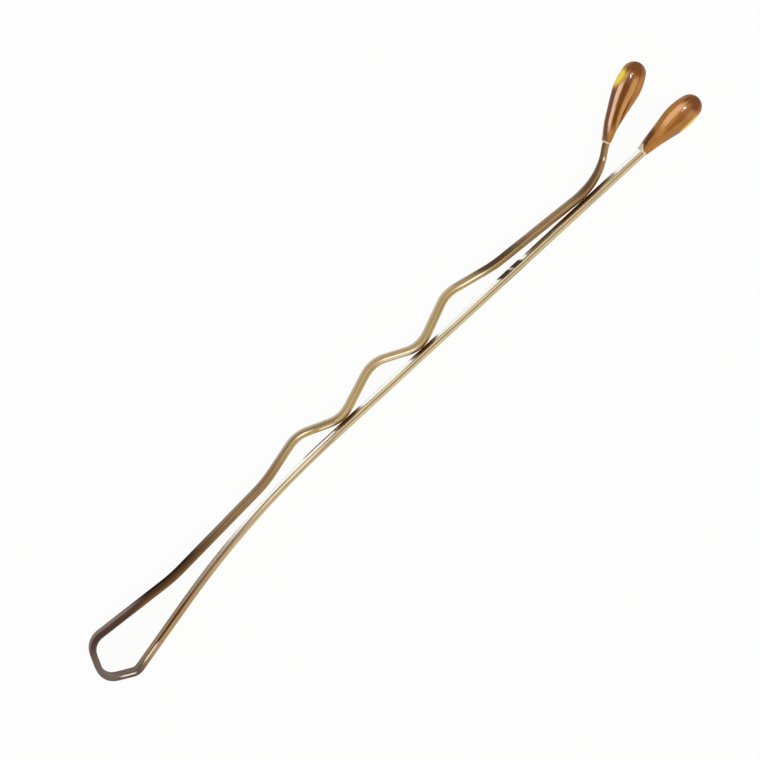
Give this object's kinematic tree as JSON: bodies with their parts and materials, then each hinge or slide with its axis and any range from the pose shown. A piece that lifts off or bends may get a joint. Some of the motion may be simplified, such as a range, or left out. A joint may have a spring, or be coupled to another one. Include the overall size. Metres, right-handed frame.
{
  "type": "bobby pin",
  "caption": "Folded flat spring wire hair pin with a straight leg, a waved leg and resin drops on the ends; the legs flex open at the closed end.",
  "frame": {"origin": "middle of the closed pin's box in X and Y, at the bottom of the resin drops, where the pin lies on its side", "axes": "+X from the closed end to the drops, along the straight leg; +Y from the straight leg to the waved leg; +Z along the width of the flat wire"},
  "size_m": [0.0508, 0.0074, 0.0017],
  "materials": {
    "leg_wire": "glossy champagne gold lacquer over spring steel, with fine drawn streaks",
    "closed_end_wire": "glossy bronze brown lacquer over spring steel",
    "amber_resin": "glossy, slightly translucent amber"
  },
  "bodies": {
    "straight_side": {"straight_leg": "leg_wire", "straight_leg_tip": "amber_resin"},
    "closed_end": {"head_bend": "closed_end_wire"},
    "waved_side": {"waved_leg": "leg_wire", "waved_leg_tip": "amber_resin"}
  },
  "joints": [
    {"name": "legs_open", "type": "hinge", "parent": "straight_side", "child": "closed_end", "pos_m": [-0.02097, -0.00297, 0.00085], "axis": [0, 0, 1], "range_deg": [0, 12], "stiffness_Nm_per_rad": 0.01},
    {"name": "legs_open_waved_root", "type": "hinge", "parent": "closed_end", "child": "waved_side", "pos_m": [-0.02132, -0.00044, 0.00085], "axis": [0, 0, 1], "range_deg": [0, 12], "stiffness_Nm_per_rad": 0.01}
  ],
  "couplings": [
    {"joint": "legs_open_waved_root", "follows": "legs_open", "ratio": 1}
  ]
}
